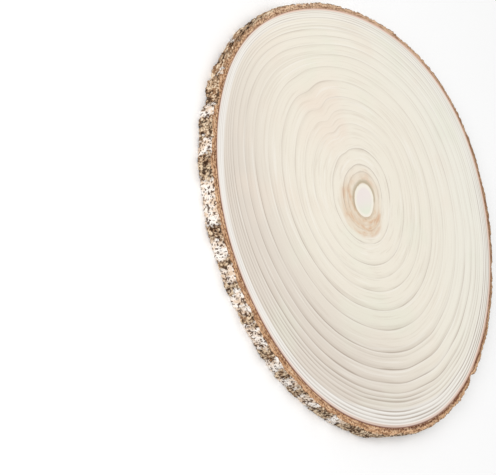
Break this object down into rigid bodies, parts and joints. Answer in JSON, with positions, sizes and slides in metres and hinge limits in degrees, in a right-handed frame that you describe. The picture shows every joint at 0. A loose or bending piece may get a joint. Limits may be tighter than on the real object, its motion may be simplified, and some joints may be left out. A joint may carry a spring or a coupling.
{
  "type": "birch wood slice",
  "caption": "Round cross-cut wood slice with live bark edge, two flat cut faces, used as a coaster, charger, sign blank or cake base.",
  "frame": {"origin": "centre of the slice's outline, on its lower cut face", "axes": "+Z along the trunk, square to the cut faces; +Y away from the viewer across the face; +X to the viewer's right"},
  "size_m": [0.2522, 0.2534, 0.0094],
  "materials": {
    "wood": "sanded bare wood on both cut faces",
    "bark": "rough brown bark around the rim, paler where it is cut"
  },
  "bodies": {
    "root": {"wood_slice": "wood"}
  },
  "joints": []
}
